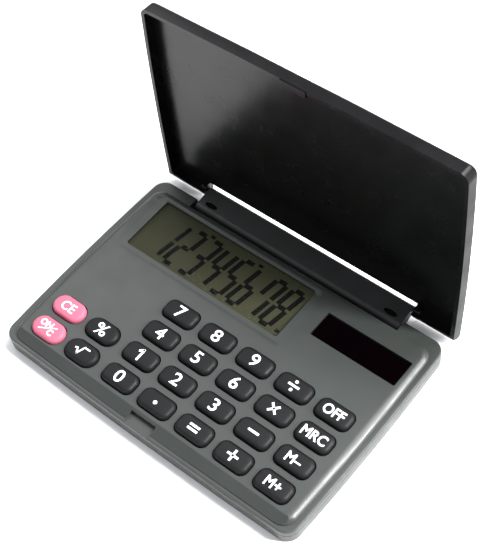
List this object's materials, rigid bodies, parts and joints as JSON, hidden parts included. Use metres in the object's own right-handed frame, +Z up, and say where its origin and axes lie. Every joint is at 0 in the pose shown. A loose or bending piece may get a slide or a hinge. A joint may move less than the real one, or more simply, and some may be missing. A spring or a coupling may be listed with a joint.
{
  "type": "pocket calculator",
  "caption": "Flip-cover pocket calculator: grey case, charcoal and pink keys, LCD, solar window, black cover on a two-axis hinge strip.",
  "frame": {"origin": "centre of the flat underside of the case", "axes": "+Z up out of the key deck, +Y towards the hinge, +X to the right of the user"},
  "size_m": [0.0978, 0.0746, 0.0664],
  "materials": {
    "case_grey": "satin",
    "cover_black": "gloss",
    "strip_black": "satin",
    "key_charcoal": "satin",
    "key_pink": "satin",
    "clear_window": "gloss",
    "display": "gloss",
    "solar": "gloss",
    "rubber": "matte",
    "board": "satin",
    "resin": "satin",
    "steel": "polished",
    "wire_red": "satin",
    "wire_black": "satin"
  },
  "bodies": {
    "case": {"top_housing": "case_grey", "bottom_housing": "case_grey", "case_screw_1": "steel", "case_screw_2": "steel", "case_screw_3": "steel", "case_screw_4": "steel", "case_screw_5": "steel", "case_screw_6": "steel", "circuit_board": "board", "key_contact_sheet": "rubber", "chip_resin": "resin", "display_window": "clear_window", "lcd_panel": "display", "display_connector_strip": "rubber", "solar_window": "solar", "solar_panel": "solar", "solar_wire_red": "wire_red", "solar_wire_black": "wire_black", "button_cell": "steel", "battery_contact_negative": "steel", "battery_contact_positive": "steel"},
    "key_zero_body": {"key_zero": "key_charcoal"},
    "key_point_body": {"key_point": "key_charcoal"},
    "key_equals_body": {"key_equals": "key_charcoal"},
    "key_plus_body": {"key_plus": "key_charcoal"},
    "key_memory_plus_body": {"key_memory_plus": "key_charcoal"},
    "key_one_body": {"key_one": "key_charcoal"},
    "key_two_body": {"key_two": "key_charcoal"},
    "key_three_body": {"key_three": "key_charcoal"},
    "key_minus_body": {"key_minus": "key_charcoal"},
    "key_memory_minus_body": {"key_memory_minus": "key_charcoal"},
    "key_four_body": {"key_four": "key_charcoal"},
    "key_five_body": {"key_five": "key_charcoal"},
    "key_six_body": {"key_six": "key_charcoal"},
    "key_times_body": {"key_times": "key_charcoal"},
    "key_memory_recall_body": {"key_memory_recall": "key_charcoal"},
    "key_seven_body": {"key_seven": "key_charcoal"},
    "key_eight_body": {"key_eight": "key_charcoal"},
    "key_nine_body": {"key_nine": "key_charcoal"},
    "key_divide_body": {"key_divide": "key_charcoal"},
    "key_off_body": {"key_off": "key_charcoal"},
    "key_on_clear_body": {"key_on_clear": "key_pink"},
    "key_root_body": {"key_root": "key_charcoal"},
    "key_clear_entry_body": {"key_clear_entry": "key_pink"},
    "key_percent_body": {"key_percent": "key_charcoal"},
    "strip_body": {"hinge_strip": "strip_black"},
    "cover_body": {"cover": "cover_black"}
  },
  "joints": [
    {"name": "press_zero", "type": "slide", "parent": "case", "child": "key_zero_body", "axis": [0, 0, 1], "range_m": [-0.0008, 0], "stiffness_N_per_m": 700},
    {"name": "press_point", "type": "slide", "parent": "case", "child": "key_point_body", "axis": [0, 0, 1], "range_m": [-0.0008, 0], "stiffness_N_per_m": 700},
    {"name": "press_equals", "type": "slide", "parent": "case", "child": "key_equals_body", "axis": [0, 0, 1], "range_m": [-0.0008, 0], "stiffness_N_per_m": 700},
    {"name": "press_plus", "type": "slide", "parent": "case", "child": "key_plus_body", "axis": [0, 0, 1], "range_m": [-0.0008, 0], "stiffness_N_per_m": 700},
    {"name": "press_memory_plus", "type": "slide", "parent": "case", "child": "key_memory_plus_body", "axis": [0, 0, 1], "range_m": [-0.0008, 0], "stiffness_N_per_m": 700},
    {"name": "press_one", "type": "slide", "parent": "case", "child": "key_one_body", "axis": [0, 0, 1], "range_m": [-0.0008, 0], "stiffness_N_per_m": 700},
    {"name": "press_two", "type": "slide", "parent": "case", "child": "key_two_body", "axis": [0, 0, 1], "range_m": [-0.0008, 0], "stiffness_N_per_m": 700},
    {"name": "press_three", "type": "slide", "parent": "case", "child": "key_three_body", "axis": [0, 0, 1], "range_m": [-0.0008, 0], "stiffness_N_per_m": 700},
    {"name": "press_minus", "type": "slide", "parent": "case", "child": "key_minus_body", "axis": [0, 0, 1], "range_m": [-0.0008, 0], "stiffness_N_per_m": 700},
    {"name": "press_memory_minus", "type": "slide", "parent": "case", "child": "key_memory_minus_body", "axis": [0, 0, 1], "range_m": [-0.0008, 0], "stiffness_N_per_m": 700},
    {"name": "press_four", "type": "slide", "parent": "case", "child": "key_four_body", "axis": [0, 0, 1], "range_m": [-0.0008, 0], "stiffness_N_per_m": 700},
    {"name": "press_five", "type": "slide", "parent": "case", "child": "key_five_body", "axis": [0, 0, 1], "range_m": [-0.0008, 0], "stiffness_N_per_m": 700},
    {"name": "press_six", "type": "slide", "parent": "case", "child": "key_six_body", "axis": [0, 0, 1], "range_m": [-0.0008, 0], "stiffness_N_per_m": 700},
    {"name": "press_times", "type": "slide", "parent": "case", "child": "key_times_body", "axis": [0, 0, 1], "range_m": [-0.0008, 0], "stiffness_N_per_m": 700},
    {"name": "press_memory_recall", "type": "slide", "parent": "case", "child": "key_memory_recall_body", "axis": [0, 0, 1], "range_m": [-0.0008, 0], "stiffness_N_per_m": 700},
    {"name": "press_seven", "type": "slide", "parent": "case", "child": "key_seven_body", "axis": [0, 0, 1], "range_m": [-0.0008, 0], "stiffness_N_per_m": 700},
    {"name": "press_eight", "type": "slide", "parent": "case", "child": "key_eight_body", "axis": [0, 0, 1], "range_m": [-0.0008, 0], "stiffness_N_per_m": 700},
    {"name": "press_nine", "type": "slide", "parent": "case", "child": "key_nine_body", "axis": [0, 0, 1], "range_m": [-0.0008, 0], "stiffness_N_per_m": 700},
    {"name": "press_divide", "type": "slide", "parent": "case", "child": "key_divide_body", "axis": [0, 0, 1], "range_m": [-0.0008, 0], "stiffness_N_per_m": 700},
    {"name": "press_off", "type": "slide", "parent": "case", "child": "key_off_body", "axis": [0, 0, 1], "range_m": [-0.0008, 0], "stiffness_N_per_m": 700},
    {"name": "press_on_clear", "type": "slide", "parent": "case", "child": "key_on_clear_body", "axis": [0, 0, 1], "range_m": [-0.0008, 0], "stiffness_N_per_m": 700},
    {"name": "press_root", "type": "slide", "parent": "case", "child": "key_root_body", "axis": [0, 0, 1], "range_m": [-0.0008, 0], "stiffness_N_per_m": 700},
    {"name": "press_clear_entry", "type": "slide", "parent": "case", "child": "key_clear_entry_body", "axis": [0, 0, 1], "range_m": [-0.0008, 0], "stiffness_N_per_m": 700},
    {"name": "press_percent", "type": "slide", "parent": "case", "child": "key_percent_body", "axis": [0, 0, 1], "range_m": [-0.0008, 0], "stiffness_N_per_m": 700},
    {"name": "strip_hinge", "type": "hinge", "parent": "case", "child": "strip_body", "pos_m": [0, 0.0319, 0.00242], "axis": [1, 0, 0], "range_deg": [-127.8, 92.8]},
    {"name": "cover_hinge", "type": "hinge", "parent": "strip_body", "child": "cover_body", "pos_m": [0, 0.03712, 0.00407], "axis": [1, 0, 0], "range_deg": [-139.4, 0]}
  ]
}
